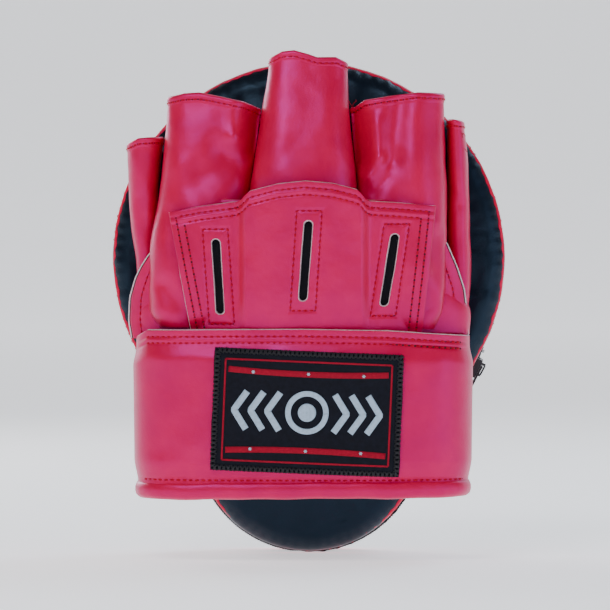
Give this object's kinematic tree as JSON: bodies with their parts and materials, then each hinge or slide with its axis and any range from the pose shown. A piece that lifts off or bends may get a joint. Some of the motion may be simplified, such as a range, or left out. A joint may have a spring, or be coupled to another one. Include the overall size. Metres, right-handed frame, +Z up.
{
  "type": "focus mitt",
  "caption": "Curved teardrop focus mitt: padded striking face with a round target on one side, open finger sleeves, knuckle panel and padded wrist cuff on the other.",
  "frame": {"origin": "middle of the hand pocket, at the height where the knuckle panel starts", "axes": "+Z up along the fingers, +Y out of the striking face, -Y towards the holder's side, +X towards the little finger"},
  "size_m": [0.203, 0.1235, 0.2609],
  "materials": {
    "black_pu": "fine-grain black synthetic leather, satin",
    "red_pu": "smooth crimson synthetic leather, semi-gloss",
    "red_piping": "bright red welt piping, semi-gloss",
    "silver_print": "pale silver transfer print, slight sheen",
    "foam_soft": "open soft foam",
    "foam_firm": "closed-cell foam",
    "board": "thin stiffening sheet",
    "zip_fabric": "ribbed woven zip tape",
    "zip_plastic": "nylon coil",
    "zip_metal": "black enamelled zinc",
    "stop_metal": "crimped metal",
    "lining": "black knitted lining",
    "thread": "red bonded thread",
    "thread_black": "black bonded thread",
    "label": "black damask weave",
    "label_red": "red woven yarn",
    "label_silver": "pale grey woven yarn",
    "facing": "raw cut edge of coated leather"
  },
  "bodies": {
    "mitt": {"strike_face_cover": "black_pu", "target_disc": "silver_print", "face_piping": "red_piping", "impact_foam": "foam_soft", "core_foam": "foam_firm", "shock_board": "board", "backing_foam": "foam_firm", "back_cover": "black_pu", "back_piping": "red_piping", "gusset_upper": "red_pu", "gusset_front_strip": "red_pu", "gusset_back_strip": "red_pu", "zip_tape_front": "zip_fabric", "zip_tape_back": "zip_fabric", "zip_coil": "zip_plastic", "zip_end_stops": "stop_metal", "palm_cushion": "foam_firm", "hand_back_lower": "red_pu", "hand_back_upper": "red_pu", "pocket_lining_lower": "lining", "pocket_lining_upper": "lining", "thumb_side_wing": "red_pu", "little_side_wing": "red_pu", "knuckle_panel_thumb_side": "red_pu", "knuckle_panel_little_side": "red_pu", "knuckle_panel_center": "red_pu", "vent_facings": "facing", "knuckle_thread": "thread", "cuff_cover": "red_pu", "cuff_foam": "foam_soft", "cuff_lining": "lining", "cuff_hem": "red_pu", "cuff_thread": "thread", "label_patch": "label", "label_frame": "label_red", "label_motif": "label_silver", "label_thread": "thread_black"},
    "thumb": {"thumb_sleeve": "red_pu"},
    "index": {"index_sleeve": "red_pu"},
    "middle": {"middle_sleeve": "red_pu"},
    "ring": {"ring_sleeve": "red_pu"},
    "little": {"little_sleeve": "red_pu"},
    "zip_slider": {"zip_slider": "zip_metal"},
    "zip_puller": {"zip_puller": "zip_metal"}
  },
  "joints": [
    {"name": "thumb_splay", "type": "hinge", "parent": "mitt", "child": "thumb", "pos_m": [-0.0923, 0.0105, 0.006], "axis": [0, -1, 0], "range_deg": [0, 25], "stiffness_Nm_per_rad": 0.4},
    {"name": "index_lean", "type": "hinge", "parent": "mitt", "child": "index", "pos_m": [-0.0544, -0.0181, 0.0497], "axis": [1, 0, 0], "range_deg": [0, 25], "stiffness_Nm_per_rad": 0.4},
    {"name": "middle_lean", "type": "hinge", "parent": "mitt", "child": "middle", "pos_m": [-0.0026, -0.0245, 0.06], "axis": [1, 0, 0], "range_deg": [0, 20], "stiffness_Nm_per_rad": 0.4},
    {"name": "ring_lean", "type": "hinge", "parent": "mitt", "child": "ring", "pos_m": [0.0484, -0.0181, 0.0497], "axis": [1, 0, 0], "range_deg": [0, 25], "stiffness_Nm_per_rad": 0.4},
    {"name": "little_splay", "type": "hinge", "parent": "mitt", "child": "little", "pos_m": [0.0841, 0.0105, 0.006], "axis": [0, 1, 0], "range_deg": [0, 20], "stiffness_Nm_per_rad": 0.4},
    {"name": "zip_slide", "type": "slide", "parent": "mitt", "child": "zip_slider", "axis": [-0.456, 0.1011, -0.8842], "range_m": [0, 0.045]},
    {"name": "puller_flip", "type": "hinge", "parent": "zip_slider", "child": "zip_puller", "pos_m": [0.09005, 0.04589, -0.03719], "axis": [-0.0464, -0.9949, -0.0899], "range_deg": [0, 150]}
  ]
}
